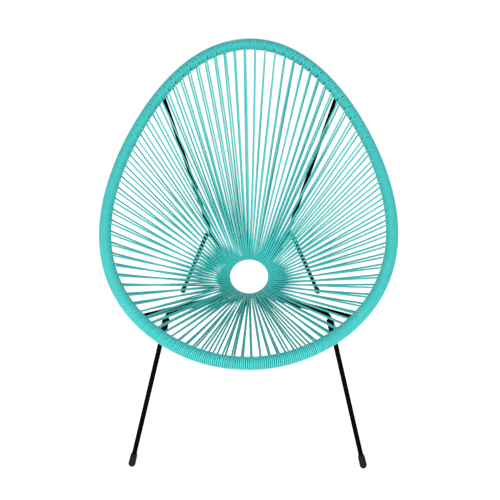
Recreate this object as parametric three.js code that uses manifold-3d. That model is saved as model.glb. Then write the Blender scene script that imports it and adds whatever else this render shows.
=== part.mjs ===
// Acapulco chair: an egg-shaped steel hoop and a small steel ring, laced together with one long
// plastic cord, on a frame of bent steel rod. All sizes are millimetres. +Z is up, the front faces
// -Y, and the origin lies on the floor under the middle of the chair.
import * as THREE from "three";
import { mergeVertices } from "three/addons/utils/BufferGeometryUtils.js";
import Module from "manifold-3d";

// Clearance between pieces that touch
const FIT = 0.3;

// Cord and lacing. Cells are counted round the hoop from its front centre; each holds one pair of
// strands, so the cells lie closer together along the front than along the sides.
const CORD_DIAMETER = 3.7;
const STRAND_SIDES = 3;
const FRONT_PAIRS = 14;
const SIDE_PAIRS = 21;
const BACK_PAIRS = 10;
const SEAM_GAP = 0.4;

// Hoop: its tube, its outline from above and its line from the side
const HOOP_TUBE = 22.2;
const HOOP_HALF_WIDTH = 343.4;
const HOOP_FRONT_FULLNESS = 37.8;
const HOOP_CORNER_FULLNESS = 20.6;
const HOOP_NOSE_FULLNESS = 22;
const HOOP_FRONT_Y = -431.1;
const HOOP_FRONT_HEIGHT = 384.3;
const HOOP_FRONT_SLOPE = 15.1;
const HOOP_BACK_SLOPE = 49.7;
const HOOP_FRONT_STRAIGHT = 53.5;
const HOOP_BACK_STRAIGHT = 91.8;
const HOOP_CURVE_RADIUS = 1235;
const FRONT_WELD_REACH = 292;
const BACK_WELD_REACH = 274.7;

// Centre ring
const RING_DIAMETER = 124;
const RING_ROD = 10;
const RING_Y = 56.3;
const RING_HEIGHT = 298;
const RING_TILT = 32;

// Rods. A place on the seat is a cell, counted here from a seat rod's weld, and a share of the way
// from the hoop (0) to the ring (1). Places beside the ring are measured along its slope.
const FRAME_ROD = 10;
const FRAME_GAP = 4;
const CORD_SLACK = 1;
const SEAT_BEND_RADIUS = 36;
const LEG_BEND_RADIUS = 16;
const FRONT_CORNER_CELL = 0.15;
const FRONT_CORNER_SHARE = 0.12;
const REAR_CORNER_CELL = -2.5;
const REAR_CORNER_SHARE = 0.77;
const TOP_CORNER_CELL = 0.1;
const TOP_CORNER_SHARE = 0.1;
const KNEE_CELL = 0.1;
const KNEE_SHARE = 0.37;
const RING_SIDE_INSET = 3;
const RING_FRONT_INSET = 12;
const RING_REAR_INSET = 2;
const FRONT_FOOT_X = 282.1;
const FRONT_FOOT_Y = -342.7;
const REAR_FOOT_X = 224.5;
const REAR_FOOT_Y = 437;

// Bolted joints between the rods
const BOLT_DIAMETER = 5.4;
const BOLT_HEAD_DIAMETER = 11;
const BOLT_CROWN_DIAMETER = 7;
const BOLT_HEAD_HEIGHT = 3.2;
const BOLT_SOCKET = 4;
const SOCKET_SIDES = 6;
const BOLT_SOCKET_DEPTH = 2;
const WASHER_DIAMETER = 13;
const WASHER_THICKNESS = 1.2;
const BUSH_DIAMETER = 12;
const BOSS_DIAMETER = 15;
const BOSS_PROUD = 0.7;
const FRONT_BOLT_SHARE = 0.5;
const REAR_BOLT_SHARE = 0.42;

// Foot caps
const FOOT_WALL = 3.45;
const FOOT_LENGTH = 26;
const FOOT_LIP = 2.6;
const SOLE_CUT = 2.75;

// Facets
const TUBE_SIDES = 8;
const ROD_SIDES = 12;
const BEND_STEP = 16;
const RUN_STEPS = 4;
const RING_STEPS = 45;
const ROUND_SIDES = 16;
const NOSE_STEPS = 4;
const HOOP_DIVISIONS = 2000;
const MERGE_DISTANCE = 0.0001;
const SLOPE_STEP_CELL = 0.1;

const cellCount = 2 * (FRONT_PAIRS + SIDE_PAIRS + BACK_PAIRS);
const cordRadius = CORD_DIAMETER / 2;
const tubeRadius = HOOP_TUBE / 2;
const boreRadius = tubeRadius + FIT;
const wrapRadius = tubeRadius + CORD_DIAMETER;
const rodRadius = FRAME_ROD / 2;
const ringRadius = RING_DIAMETER / 2;
const footRadius = rodRadius + FIT + FOOT_WALL;
const strandFlat = cordRadius * Math.cos(Math.PI / STRAND_SIDES);

const point = (x, y, z) => new THREE.Vector3(x, y, z);
const along = (start, end, share) => start.clone().lerp(end, share);
const offset = (start, direction, length) => start.clone().addScaledVector(direction, length);
const toRadians = THREE.MathUtils.degToRad;

const wasm = await Module();
wasm.setup();

// Solids and booleans

function solidOf(geometry) {
  const bare = geometry.clone();
  bare.deleteAttribute("normal");
  bare.deleteAttribute("uv");
  const merged = mergeVertices(bare, MERGE_DISTANCE);
  const mesh = new wasm.Mesh({
    numProp: 3,
    vertProperties: new Float32Array(merged.attributes.position.array),
    triVerts: new Uint32Array(merged.index.array),
  });
  return new wasm.Manifold(mesh);
}

function geometryOf(solid) {
  const mesh = solid.getMesh();
  const geometry = new THREE.BufferGeometry();
  geometry.setAttribute("position", new THREE.BufferAttribute(mesh.vertProperties, mesh.numProp));
  geometry.setIndex(new THREE.BufferAttribute(mesh.triVerts, 1));
  return geometry;
}

// Skins a row of rings that have as many points each. A closed row joins its last ring to its
// first; an open one gets a flat cap at either end.
function loft(rings, closed) {
  const sides = rings[0].length;
  const spans = closed ? rings.length : rings.length - 1;
  const index = [];
  for (let i = 0; i < spans; i++) {
    const here = i * sides;
    const next = ((i + 1) % rings.length) * sides;
    for (let j = 0; j < sides; j++) {
      const k = (j + 1) % sides;
      index.push(here + j, here + k, next + j);
      index.push(here + k, next + k, next + j);
    }
  }
  const last = (rings.length - 1) * sides;
  for (let j = 1; !closed && j < sides - 1; j++) {
    index.push(0, j + 1, j);
    index.push(last, last + j, last + j + 1);
  }
  const geometry = new THREE.BufferGeometry().setFromPoints(rings.flat());
  geometry.setIndex(index);
  return geometry;
}

// A ring of points about a centre, in the plane of two axes; its first flat faces away from x.
function polygon(centre, x, y, radius, sides) {
  return Array.from({ length: sides }, (_, j) => {
    const angle = Math.PI * (1 + (2 * j + 1) / sides);
    return offset(offset(centre, x, radius * Math.cos(angle)), y, radius * Math.sin(angle));
  });
}

// A round rod through a row of points, its frame carried along without twist.
function rodThrough(points, radius, sides) {
  const tangents = points.map((here, i) => {
    const before = points[Math.max(i - 1, 0)];
    const after = points[Math.min(i + 1, points.length - 1)];
    return after.clone().sub(before).normalize();
  });
  const x = point(1, 0, 0).cross(tangents[0]).normalize();
  const rings = points.map((here, i) => {
    x.addScaledVector(tangents[i], -x.dot(tangents[i])).normalize();
    return polygon(here, x, tangents[i].clone().cross(x), radius, sides);
  });
  return solidOf(loft(rings, false));
}

// Rounds the inner corners of a row of points to a bend radius.
function roundCorners(corners, radius) {
  const path = [corners[0]];
  for (let i = 1; i < corners.length - 1; i++) {
    const back = corners[i - 1].clone().sub(corners[i]).normalize();
    const ahead = corners[i + 1].clone().sub(corners[i]).normalize();
    const half = back.angleTo(ahead) / 2;
    const middle = back.clone().add(ahead).normalize();
    const centre = offset(corners[i], middle, radius / Math.sin(half));
    const sweep = Math.PI - 2 * half;
    const outward = middle.clone().negate();
    const sideways = ahead.clone().sub(back).normalize();
    const steps = Math.ceil(sweep / toRadians(BEND_STEP));
    for (let step = 0; step <= steps; step++) {
      const angle = sweep * (step / steps - 0.5);
      const spoke = outward.clone().multiplyScalar(Math.cos(angle));
      spoke.addScaledVector(sideways, Math.sin(angle));
      path.push(offset(centre, spoke, radius));
    }
  }
  path.push(corners.at(-1));
  return path;
}

// A round piece about a line: its outline is rows of [radius, height above the base point].
function turned(outline, base, axis) {
  const profile = outline.map(([radius, height]) => new THREE.Vector2(radius, height));
  const geometry = new THREE.LatheGeometry(profile, ROUND_SIDES);
  const lean = new THREE.Quaternion().setFromUnitVectors(point(0, 1, 0), axis);
  geometry.applyQuaternion(lean);
  geometry.translate(base.x, base.y, base.z);
  return solidOf(geometry);
}

// Hoop

// Height and depth of the hoop's side line: a straight, an arc and a straight.
const frontSlope = toRadians(HOOP_FRONT_SLOPE);
const backSlope = toRadians(HOOP_BACK_SLOPE);
const arcLength = HOOP_CURVE_RADIUS * (backSlope - frontSlope);
const sideLength = HOOP_FRONT_STRAIGHT + arcLength + HOOP_BACK_STRAIGHT;

function sideLine(length) {
  const first = Math.min(length, HOOP_FRONT_STRAIGHT);
  const bent = THREE.MathUtils.clamp(length - HOOP_FRONT_STRAIGHT, 0, arcLength);
  const last = Math.max(length - HOOP_FRONT_STRAIGHT - arcLength, 0);
  const slope = frontSlope + bent / HOOP_CURVE_RADIUS;
  const y = first * Math.cos(frontSlope) + last * Math.cos(backSlope)
    + HOOP_CURVE_RADIUS * (Math.sin(slope) - Math.sin(frontSlope));
  const z = first * Math.sin(frontSlope) + last * Math.sin(backSlope)
    + HOOP_CURVE_RADIUS * (Math.cos(frontSlope) - Math.cos(slope));
  return [HOOP_FRONT_Y + y, HOOP_FRONT_HEIGHT + z];
}

// The hoop's centre line: an egg seen square on, fuller towards the front, laid on the side line.
class HoopLine extends THREE.Curve {
  getPoint(share) {
    const turn = 2 * Math.PI * share;
    const forward = Math.cos(turn);
    const width = HOOP_HALF_WIDTH + HOOP_FRONT_FULLNESS * forward
      - HOOP_CORNER_FULLNESS * forward ** 2 - HOOP_NOSE_FULLNESS * forward ** 3;
    const [y, z] = sideLine((sideLength * (1 - forward)) / 2);
    return point(width * Math.sin(turn), y, z);
  }
}

const hoopLine = new HoopLine();
hoopLine.arcLengthDivisions = HOOP_DIVISIONS;
const hoopLength = hoopLine.getLength();

// Length along the hoop from its front centre to a cell.
function hoopReach(cell) {
  const half = Math.min(cell, cellCount - cell);
  const sideReach = hoopLength / 2 - FRONT_WELD_REACH - BACK_WELD_REACH;
  const reach = (Math.min(half, FRONT_PAIRS) * FRONT_WELD_REACH) / FRONT_PAIRS
    + (THREE.MathUtils.clamp(half - FRONT_PAIRS, 0, SIDE_PAIRS) * sideReach) / SIDE_PAIRS
    + (Math.max(half - FRONT_PAIRS - SIDE_PAIRS, 0) * BACK_WELD_REACH) / BACK_PAIRS;
  return cell > cellCount / 2 ? hoopLength - reach : reach;
}

// The cord is wound in runs between joins; the counts go round one half and back up the other.
const splitEvenly = (pairs, parts) =>
  Array.from({ length: parts }, (_, i) =>
    Math.floor(((i + 1) * pairs) / parts) - Math.floor((i * pairs) / parts));
const zones = [["front", FRONT_PAIRS, 2], ["side", SIDE_PAIRS, 4], ["back", BACK_PAIRS, 2]];
const halfRuns = zones.flatMap(([zone, pairs, parts]) =>
  splitEvenly(pairs, parts).map((count, i) => ({ place: `${zone}_cord_${i + 1}`, count })));
const runs = [];
for (const [side, order] of [["right", halfRuns], ["left", halfRuns.toReversed()]]) {
  for (const { place, count } of order) {
    const first = runs.length ? runs.at(-1).last : 0;
    runs.push({ name: `${side}_${place}`, first, last: first + count });
  }
}

// The tube's facets break at these stations, and all that lies on the tube follows them.
const hoopTilt = (frontSlope + backSlope) / 2;
const hoopAxis = point(0, -Math.sin(hoopTilt), Math.cos(hoopTilt));
const stations = runs.flatMap(({ first, last }) =>
  Array.from({ length: RUN_STEPS }, (_, i) => hoopStation(first + ((last - first) * i) / RUN_STEPS)));
stations.push({ ...stations[0], reach: hoopLength });

function hoopStation(cell) {
  const reach = hoopReach(cell);
  const centre = hoopLine.getPointAt(reach / hoopLength);
  const tangent = hoopLine.getTangentAt(reach / hoopLength);
  const outward = tangent.clone().cross(hoopAxis).normalize();
  return { reach, centre, tangent, outward, across: tangent.clone().cross(outward) };
}

// The pair of stations that a length along the hoop lies between, and its share of the way.
function betweenStations(reach) {
  const after = stations.findIndex((station, i) => i > 0 && reach <= station.reach);
  const before = stations[after - 1];
  const share = (reach - before.reach) / (stations[after].reach - before.reach);
  return [before, stations[after], share];
}

const stationRing = ({ centre, outward, across }, radius) =>
  polygon(centre, outward, across, radius, TUBE_SIDES);

function hoopRing(reach, radius) {
  const [before, after, share] = betweenStations(reach);
  const next = stationRing(after, radius);
  return stationRing(before, radius).map((corner, i) => along(corner, next[i], share));
}

function hoopCentre(reach) {
  const [before, after, share] = betweenStations(reach);
  return along(before.centre, after.centre, share);
}

const rimHoop = solidOf(loft(stations.slice(0, -1).map((at) => stationRing(at, tubeRadius)), true));
const hoopBore = solidOf(loft(stations.slice(0, -1).map((at) => stationRing(at, boreRadius)), true));

// Centre ring

const ringForward = point(0, -Math.cos(toRadians(RING_TILT)), -Math.sin(toRadians(RING_TILT)));
const ringDown = point(0, Math.sin(toRadians(RING_TILT)), -Math.cos(toRadians(RING_TILT)));
const ringCentre = point(0, RING_Y, RING_HEIGHT);

function ringSpoke(cell) {
  const turn = (2 * Math.PI * cell) / cellCount;
  return point(Math.sin(turn), 0, 0).addScaledVector(ringForward, Math.cos(turn));
}

const ringPoint = (cell) => offset(ringCentre, ringSpoke(cell), ringRadius);

function centreRing() {
  const rings = Array.from({ length: RING_STEPS }, (_, i) => {
    const cell = (i * cellCount) / RING_STEPS;
    return polygon(ringPoint(cell), ringSpoke(cell), ringDown, RING_ROD / 2, TUBE_SIDES);
  });
  return solidOf(loft(rings, true));
}

// Cord

const strandOnHoop = boreRadius + FIT + strandFlat;
const strandOnRing = RING_ROD / 2 + FIT + strandFlat;
const TURN_ANGLES = [60, 0, -60].map(toRadians);
const turnRadius = strandOnRing / Math.cos(TURN_ANGLES[0] / 2);
const ringPitch = (Math.PI * RING_DIAMETER) / cellCount;

// One pair: the cord leaves over the top of the hoop, turns round the ring's inner side and comes
// back beneath. It is half a turn of the winding, so it gains half a cord's width on the hoop, and
// half a cell on the ring, where the lower strands show between the upper ones.
function strandPair(cell) {
  const reach = hoopReach(cell);
  const tangent = hoopLine.getTangentAt(reach / hoopLength);
  const ringTangent = ringSpoke(cell).cross(ringDown).normalize();
  const end = ringPoint(cell);
  const root = (side) => {
    const start = hoopCentre(reach - (side * CORD_DIAMETER) / 4);
    const inward = end.clone().sub(start).normalize();
    const up = tangent.clone().cross(inward).normalize();
    up.multiplyScalar(Math.sign(up.z) * side);
    const buried = offset(offset(start, up, strandOnHoop), inward, -cordRadius / 2);
    return { centre: buried, x: up, y: inward.clone().multiplyScalar(side).cross(up) };
  };
  const inward = end.clone().sub(hoopCentre(reach)).normalize();
  inward.addScaledVector(ringTangent, -inward.dot(ringTangent)).normalize();
  const up = ringTangent.clone().cross(inward).normalize();
  up.multiplyScalar(Math.sign(up.z));
  const onward = inward.clone().cross(up);
  const turn = TURN_ANGLES.map((angle) => {
    const x = inward.clone().multiplyScalar(Math.cos(angle)).addScaledVector(up, Math.sin(angle));
    const slip = (ringPitch / 4) * (angle / TURN_ANGLES[0]);
    return { centre: offset(offset(end, x, turnRadius), ringTangent, -slip), x, y: onward };
  });
  const route = [root(1), ...turn, root(-1)];
  const rings = route.map(({ centre, x, y }) => polygon(centre, x, y, cordRadius, STRAND_SIDES));
  return solidOf(loft(rings, false));
}

// Rod frame

// A place on the seat's cords: a cell, and how far from the hoop (0) to the ring (1).
const seatPoint = (cell, share) =>
  along(hoopLine.getPointAt(hoopReach(cell) / hoopLength), ringPoint(cell), share);

// A place beneath the cords, where a rod clears both layers of strands by the slack given.
function beneathSeat(cell, share, lower) {
  const inward = seatPoint(cell, 1).sub(seatPoint(cell, 0));
  const across = seatPoint(cell + SLOPE_STEP_CELL, share).sub(seatPoint(cell - SLOPE_STEP_CELL, share));
  const down = across.cross(inward).normalize();
  down.multiplyScalar(-Math.sign(down.z));
  const layer = THREE.MathUtils.lerp(strandOnHoop, strandOnRing, share) + cordRadius;
  return offset(seatPoint(cell, share), down, layer + FIT + CORD_SLACK + rodRadius + lower);
}

// A place below the side of the ring, ahead of or behind its middle along the ring's own slope.
function besideRing(behind, lower) {
  const depth = strandOnRing + cordRadius + FIT + CORD_SLACK + rodRadius + lower;
  const place = offset(offset(ringCentre, ringForward, -behind), ringDown, depth);
  return place.add(point(ringRadius - RING_SIDE_INSET, 0, 0));
}

const frontCell = FRONT_PAIRS;
const backCell = FRONT_PAIRS + SIDE_PAIRS;
const legLower = FRAME_ROD + FRAME_GAP;

// The stretch that a seat rod and the leg rod below it share: under the side of the ring, then up.
const sharedCorners = (lower) => [
  besideRing(RING_FRONT_INSET - ringRadius, lower),
  besideRing(ringRadius - RING_REAR_INSET, lower),
  beneathSeat(backCell + REAR_CORNER_CELL, REAR_CORNER_SHARE, lower),
];

const mirrored = (corners, side) => corners.map(({ x, y, z }) => point(side * x, y, z));

function seatCorners(side) {
  const corners = [
    seatPoint(frontCell, 0),
    beneathSeat(frontCell + FRONT_CORNER_CELL, FRONT_CORNER_SHARE, 0),
    ...sharedCorners(0),
    beneathSeat(backCell + TOP_CORNER_CELL, TOP_CORNER_SHARE, 0),
    seatPoint(backCell, 0),
  ];
  return mirrored(corners, side);
}

function legCorners(side) {
  const standing = footRadius - SOLE_CUT;
  const corners = [
    point(FRONT_FOOT_X, FRONT_FOOT_Y, standing),
    beneathSeat(frontCell + KNEE_CELL, KNEE_SHARE, legLower),
    ...sharedCorners(legLower),
    point(REAR_FOOT_X, REAR_FOOT_Y, standing),
  ];
  return mirrored(corners, side);
}

const seatRod = (side, radius, sides) =>
  rodThrough(roundCorners(seatCorners(side), SEAT_BEND_RADIUS), radius, sides);

// Winding

const passRadius = (rodRadius + FIT) / Math.cos(Math.PI / TUBE_SIDES);

// One run: a sleeve of turns round the tube, with its strands. A join in the winding leaves a slit,
// and the turns beside a weld part to let the seat rod through.
function cordRun({ first, last }) {
  const start = hoopReach(first) + SEAM_GAP / 2;
  const end = hoopReach(last) - SEAM_GAP / 2;
  const between = stations.map(({ reach }) => reach).filter((reach) => reach > start && reach < end);
  const reaches = [start, ...between, end];
  const outer = reaches.map((reach) => hoopRing(reach, wrapRadius));
  const inner = reaches.map((reach) => hoopRing(reach, boreRadius));
  let run = solidOf(loft([...outer, ...inner.reverse()], true));
  for (const side of [1, -1]) run = run.subtract(seatRod(side, passRadius, TUBE_SIDES));
  for (let cell = first; cell < last; cell++) run = run.add(strandPair(cell + 0.5));
  return run;
}

// Joints

// A joint square to the seat rod, at a share of the way along a straight of the leg rod. Its
// heights are measured from the leg rod's centre line up to the seat rod's.
function jointBetween([seatStart, seatEnd], [legStart, legEnd], share) {
  const onLeg = along(legStart, legEnd, share);
  const onSeat = new THREE.Line3(seatStart, seatEnd).closestPointToPoint(onLeg, true, point(0, 0, 0));
  const up = onSeat.clone().sub(onLeg);
  return { base: onLeg, height: up.length(), up: up.normalize() };
}

function jointsOf(side) {
  const seat = seatCorners(side);
  const leg = legCorners(side);
  return {
    front: jointBetween(seat.slice(1, 3), leg.slice(1, 3), FRONT_BOLT_SHARE),
    rear: jointBetween(seat.slice(3, 5), leg.slice(3, 5), REAR_BOLT_SHARE),
  };
}

const bossTop = rodRadius + BOSS_PROUD;
const washerTop = -bossTop - FIT;
const headTop = washerTop - WASHER_THICKNESS - FIT;
const holeRadius = BOLT_DIAMETER / 2 + FIT;
const socketRadius = BOLT_SOCKET / 2 / Math.cos(Math.PI / SOCKET_SIDES);

// A solid cylinder on a joint, between two of its heights.
function onJoint({ base, up }, radius, bottom, top) {
  return turned([[0, bottom], [radius, bottom], [radius, top], [0, top]], base, up);
}

const boltHole = (joint) => onJoint(joint, holeRadius, headTop, joint.height + FIT);

// The seat rod carries a tapped bush on its underside, and the leg rod a boss that seats on it.
function boredSeatRod(side) {
  let rod = seatRod(side, rodRadius, ROD_SIDES).subtract(hoopBore);
  for (const joint of Object.values(jointsOf(side))) {
    const bush = onJoint(joint, BUSH_DIAMETER / 2, bossTop + FIT, joint.height);
    rod = rod.add(bush).subtract(boltHole(joint));
  }
  return rod;
}

function boredLegRod(side) {
  let rod = rodThrough(roundCorners(legCorners(side), LEG_BEND_RADIUS), rodRadius, ROD_SIDES);
  for (const joint of Object.values(jointsOf(side))) {
    const boss = onJoint(joint, BOSS_DIAMETER / 2, -bossTop, bossTop);
    rod = rod.add(boss).subtract(boltHole(joint));
  }
  return rod;
}

function washer({ base, up }) {
  const rim = WASHER_DIAMETER / 2;
  const bottom = washerTop - WASHER_THICKNESS;
  const outline = [[holeRadius, bottom], [rim, bottom], [rim, washerTop], [holeRadius, washerTop]];
  return turned([...outline, outline[0]], base, up);
}

// A button-head bolt with a hexagon socket, driven from below.
function bolt({ base, height, up }) {
  const rim = BOLT_HEAD_DIAMETER / 2;
  const shank = BOLT_DIAMETER / 2;
  const bottom = headTop - BOLT_HEAD_HEIGHT;
  const outline = [
    [0, bottom],
    [BOLT_CROWN_DIAMETER / 2, bottom],
    [rim, headTop],
    [shank, headTop],
    [shank, height],
    [0, height],
  ];
  const x = point(1, 0, 0).cross(up).normalize();
  const socket = [bottom - FIT, bottom + BOLT_SOCKET_DEPTH].map((level) =>
    polygon(offset(base, up, level), x, up.clone().cross(x), socketRadius, SOCKET_SIDES));
  return turned(outline, base, up).subtract(solidOf(loft(socket, false)));
}

// Foot caps

// A cap pushed over the end of a leg rod: a round nose cut flat where it stands on the floor.
function footCap(end, above) {
  const bore = rodRadius + FIT;
  const nose = Array.from({ length: NOSE_STEPS }, (_, i) => {
    const angle = (Math.PI / 2) * (i / NOSE_STEPS);
    return [footRadius * Math.sin(angle), -footRadius * Math.cos(angle)];
  });
  const outline = [
    ...nose,
    [footRadius, 0],
    [footRadius, FOOT_LENGTH - FOOT_LIP],
    [footRadius - FOOT_LIP, FOOT_LENGTH],
    [bore, FOOT_LENGTH],
    [bore, -FIT],
    [0, -FIT],
  ];
  const axis = above.clone().sub(end).normalize();
  const floor = new THREE.BoxGeometry(4 * footRadius, 4 * footRadius, 2 * footRadius);
  floor.translate(end.x, end.y, -footRadius);
  return turned(outline, end, axis).subtract(solidOf(floor));
}

const chair = new THREE.Group();
const turquoise = { color: 0x45cdc6, roughness: 0.4, metalness: 0 };
const blackSteel = { color: 0x14161a, roughness: 0.4, metalness: 0.3 };
const blackPlastic = { color: 0x101114, roughness: 0.55, metalness: 0 };
const zincSteel = { color: 0x24262a, roughness: 0.35, metalness: 0.8 };

function add(name, solid, look) {
  const mesh = new THREE.Mesh(geometryOf(solid), new THREE.MeshStandardMaterial(look));
  mesh.name = name;
  chair.add(mesh);
}

add("rim_hoop", rimHoop, blackSteel);
add("centre_ring", centreRing(), blackSteel);
for (const run of runs) add(run.name, cordRun(run), turquoise);
for (const [name, side] of [["right", 1], ["left", -1]]) {
  add(`${name}_seat_rod`, boredSeatRod(side), blackSteel);
  add(`${name}_leg_rod`, boredLegRod(side), blackSteel);
  const leg = legCorners(side);
  add(`${name}_front_foot`, footCap(leg[0], leg[1]), blackPlastic);
  add(`${name}_rear_foot`, footCap(leg.at(-1), leg.at(-2)), blackPlastic);
  for (const [place, joint] of Object.entries(jointsOf(side))) {
    add(`${name}_${place}_washer`, washer(joint), zincSteel);
    add(`${name}_${place}_bolt`, bolt(joint), zincSteel);
  }
}

export default chair;
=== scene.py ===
# %% [markdown]
# An acapulco chair in turquoise cord. The real chair is a bent steel hoop and a small steel ring
# that one long vinyl cord ties together, carried on four legs of bent black rod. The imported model
# gives the fixed frame: every piece here is in metres, in the frame's own axes, with +Z up and the
# front of the chair towards -Y. Loading comes first, because everything else is placed by it.

# %% Load the frame
import random
from bisect import bisect_right
from math import atan2, ceil, cos, pi, radians, sin, sqrt, tan, tau

import bmesh
import bpy
import numpy as np
from mathutils import Matrix, Vector


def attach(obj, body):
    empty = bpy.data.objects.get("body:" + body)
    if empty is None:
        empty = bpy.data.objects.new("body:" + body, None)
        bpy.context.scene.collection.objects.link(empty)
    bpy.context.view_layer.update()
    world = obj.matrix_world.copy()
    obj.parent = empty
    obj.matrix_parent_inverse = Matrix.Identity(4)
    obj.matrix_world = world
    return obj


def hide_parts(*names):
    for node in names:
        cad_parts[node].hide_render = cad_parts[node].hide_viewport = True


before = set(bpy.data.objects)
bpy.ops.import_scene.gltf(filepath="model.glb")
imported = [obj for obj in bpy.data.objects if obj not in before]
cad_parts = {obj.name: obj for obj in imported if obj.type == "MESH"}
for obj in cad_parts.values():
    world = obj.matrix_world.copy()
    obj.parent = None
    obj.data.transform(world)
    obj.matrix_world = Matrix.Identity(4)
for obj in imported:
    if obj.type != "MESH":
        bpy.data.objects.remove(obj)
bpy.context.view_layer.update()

print("nodes in the frame:", len(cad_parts))

# %% [markdown]
# The camera comes before the pieces. The photograph was taken from the front, a little to the
# right, looking down at about thirty degrees with a lens of moderate length. The direction is given
# as two angles and a distance from the point that the camera looks at, because those three are
# easy to read off a picture and to correct one at a time.

# %% Camera
CAMERA_AIM = Vector((0, 0.3062, 0.2374))
CAMERA_DISTANCE = 2.2868
CAMERA_DOWN = radians(29.66)
CAMERA_SWING = radians(-0.55)
LENS_MM = 54.22
SENSOR_MM = 36

level = cos(CAMERA_DOWN)
looking = Vector((sin(CAMERA_SWING) * level, cos(CAMERA_SWING) * level, -sin(CAMERA_DOWN)))
camera_data = bpy.data.cameras.new("camera")
camera_data.lens = LENS_MM
camera_data.sensor_width = SENSOR_MM
camera = bpy.data.objects.new("camera", camera_data)
camera.location = CAMERA_AIM - CAMERA_DISTANCE * looking
camera.rotation_euler = looking.to_track_quat("-Z", "Y").to_euler()
bpy.context.collection.objects.link(camera)
bpy.context.scene.camera = camera
print("camera stands at", [round(v, 3) for v in camera.location])

# %% [markdown]
# Finishes. Every surface of this chair has a fine grain and a colour that drifts a little, and the
# cord has lengthwise streaks as well. Each effect is a node group that is built once and placed in
# a material with values of its own. The groups put out numbers and colours only, and each material
# keeps its own shader. First come three helpers that save writing the same lines again.

# %% Node helpers
def new_group(name, inputs, outputs):
    group = bpy.data.node_groups.new(name, "ShaderNodeTree")
    for socket, kind, value in inputs:
        made = group.interface.new_socket(socket, in_out="INPUT", socket_type=kind)
        if value is not None:
            made.default_value = value
    for socket, kind in outputs:
        group.interface.new_socket(socket, in_out="OUTPUT", socket_type=kind)
    return group, group.nodes.new("NodeGroupInput"), group.nodes.new("NodeGroupOutput")


def math_node(tree, operation, *values):
    node = tree.nodes.new("ShaderNodeMath")
    node.operation = operation
    for socket, value in zip(node.inputs, values):
        if isinstance(value, bpy.types.NodeSocket):
            tree.links.new(value, socket)
        else:
            socket.default_value = value
    return node.outputs[0]


def noise_node(tree, vector, scale, detail):
    node = tree.nodes.new("ShaderNodeTexNoise")
    node.inputs["Detail"].default_value = detail
    tree.links.new(vector, node.inputs["Vector"])
    tree.links.new(scale, node.inputs["Scale"])
    return node.outputs["Fac"]


# %% [markdown]
# Powder coat, rubber and plastic have a fine grain. It could be a picture wrapped round each piece,
# but a noise that reads the object's own coordinates needs no wrapping and shows no seam. A fine
# noise gives the height for a bump, and a coarse one moves the roughness up and down about a chosen
# value, so that a highlight breaks up a little.

# %% Grain group
FLOAT, COLOUR, VECTOR = "NodeSocketFloat", "NodeSocketColor", "NodeSocketVector"
FINE_DETAIL = 2
COARSE_DETAIL = 3
COARSE_SHARE = 0.06
NOISE_MIDDLE = 0.5

grain, grain_in, grain_out = new_group(
    "surface_grain",
    [
        ("Vector", VECTOR, None),
        ("Scale", FLOAT, 900.0),
        ("Roughness", FLOAT, 0.4),
        ("Spread", FLOAT, 0.1),
    ],
    [("Height", FLOAT), ("Roughness", FLOAT)],
)
fine = noise_node(grain, grain_in.outputs["Vector"], grain_in.outputs["Scale"], FINE_DETAIL)
coarse_scale = math_node(grain, "MULTIPLY", grain_in.outputs["Scale"], COARSE_SHARE)
coarse = noise_node(grain, grain_in.outputs["Vector"], coarse_scale, COARSE_DETAIL)
centred = math_node(grain, "SUBTRACT", coarse, NOISE_MIDDLE)
swing = math_node(grain, "MULTIPLY", centred, grain_in.outputs["Spread"])
uneven = math_node(grain, "ADD", grain_in.outputs["Roughness"], swing)
grain.links.new(fine, grain_out.inputs["Height"])
grain.links.new(uneven, grain_out.inputs["Roughness"])
print("group made:", grain.name)

# %% [markdown]
# The drift mixes two close colours by a slow noise. New paint and new plastic are never one flat
# colour, but they change so slowly that the eye reads it as light.

# %% Drift group
DRIFT_DETAIL = 2

drift, drift_in, drift_out = new_group(
    "colour_drift",
    [
        ("Vector", VECTOR, None),
        ("Scale", FLOAT, 9.0),
        ("Light", COLOUR, (1, 1, 1, 1)),
        ("Deep", COLOUR, (0, 0, 0, 1)),
    ],
    [("Colour", COLOUR)],
)
slow = noise_node(drift, drift_in.outputs["Vector"], drift_in.outputs["Scale"], DRIFT_DETAIL)
drift_mix = drift.nodes.new("ShaderNodeMix")
drift_mix.data_type = "RGBA"
drift.links.new(slow, drift_mix.inputs["Factor"])
drift.links.new(drift_in.outputs["Deep"], drift_mix.inputs["A"])
drift.links.new(drift_in.outputs["Light"], drift_mix.inputs["B"])
drift.links.new(drift_mix.outputs["Result"], drift_out.inputs["Colour"])
print("group made:", drift.name)

# %% [markdown]
# An extruded cord has fine lines along it, left by the die. The streaks read the cord's own UV map:
# how far along in metres, and how far round from 0 to 1. The round part is laid on a circle, so
# that the pattern closes on itself, and the long part is squeezed, so that each line runs on.

# %% Streak group
STREAK_DETAIL = 2

streaks, streaks_in, streaks_out = new_group(
    "extrusion_streaks",
    [("UV", VECTOR, None), ("Lines", FLOAT, 3.0), ("Squeeze", FLOAT, 25.0)],
    [("Mask", FLOAT)],
)
lengths = streaks.nodes.new("ShaderNodeSeparateXYZ")
streaks.links.new(streaks_in.outputs["UV"], lengths.inputs["Vector"])
turn = math_node(streaks, "MULTIPLY", lengths.outputs["Y"], tau)
circle = streaks.nodes.new("ShaderNodeCombineXYZ")
streaks.links.new(math_node(streaks, "COSINE", turn), circle.inputs["X"])
streaks.links.new(math_node(streaks, "SINE", turn), circle.inputs["Y"])
along = math_node(streaks, "MULTIPLY", lengths.outputs["X"], streaks_in.outputs["Squeeze"])
streaks.links.new(along, circle.inputs["Z"])
mask = noise_node(streaks, circle.outputs["Vector"], streaks_in.outputs["Lines"], STREAK_DETAIL)
streaks.links.new(mask, streaks_out.inputs["Mask"])
print("group made:", streaks.name)

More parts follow.
